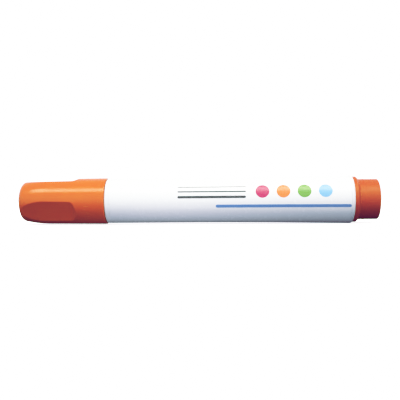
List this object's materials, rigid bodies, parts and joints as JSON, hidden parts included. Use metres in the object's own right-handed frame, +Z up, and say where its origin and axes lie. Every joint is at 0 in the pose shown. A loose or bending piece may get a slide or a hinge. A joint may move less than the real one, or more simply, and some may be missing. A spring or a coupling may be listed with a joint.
{
  "type": "felt tip marker",
  "caption": "Capped felt tip marker: white labelled barrel, orange cap with finger flats, orange rear plug, fibre nib and ink reservoir inside.",
  "frame": {"origin": "on the surface that the marker lies on, below the middle of its length", "axes": "+X along the marker's axis from the cap's closed end to the rear plug, +Z up, -Y towards the viewer"},
  "size_m": [0.134, 0.0178, 0.0178],
  "materials": {
    "barrel_plastic": "semi-gloss moulded polypropylene, white",
    "label_film": "glossy white printed film",
    "holder_plastic": "satin moulded polypropylene, white",
    "nib_fibre": "dense felt fibre soaked with orange ink",
    "reservoir_fibre": "loose polyester fibre soaked with orange ink",
    "clear_film": "thin clear wrapping film",
    "ink_colour_plastic": "semi-gloss moulded polypropylene, orange",
    "seal_plastic": "soft satin polyethylene, natural white"
  },
  "bodies": {
    "barrel": {"barrel": "barrel_plastic", "barrel_label": "label_film", "nib_holder": "holder_plastic", "nib": "nib_fibre", "ink_reservoir": "reservoir_fibre", "reservoir_film": "clear_film", "rear_plug": "ink_colour_plastic"},
    "cap_seal": {"cap_inner_seal": "seal_plastic"},
    "cap": {"cap_shell": "ink_colour_plastic"}
  },
  "joints": [
    {"name": "cap_slide", "type": "slide", "parent": "barrel", "child": "cap_seal", "axis": [-1, 0, 0], "range_m": [0, 0.04]},
    {"name": "cap_turn", "type": "hinge", "parent": "cap_seal", "child": "cap", "pos_m": [-0.05, 0, 0.0089], "axis": [-1, 0, 0], "continuous": true}
  ]
}
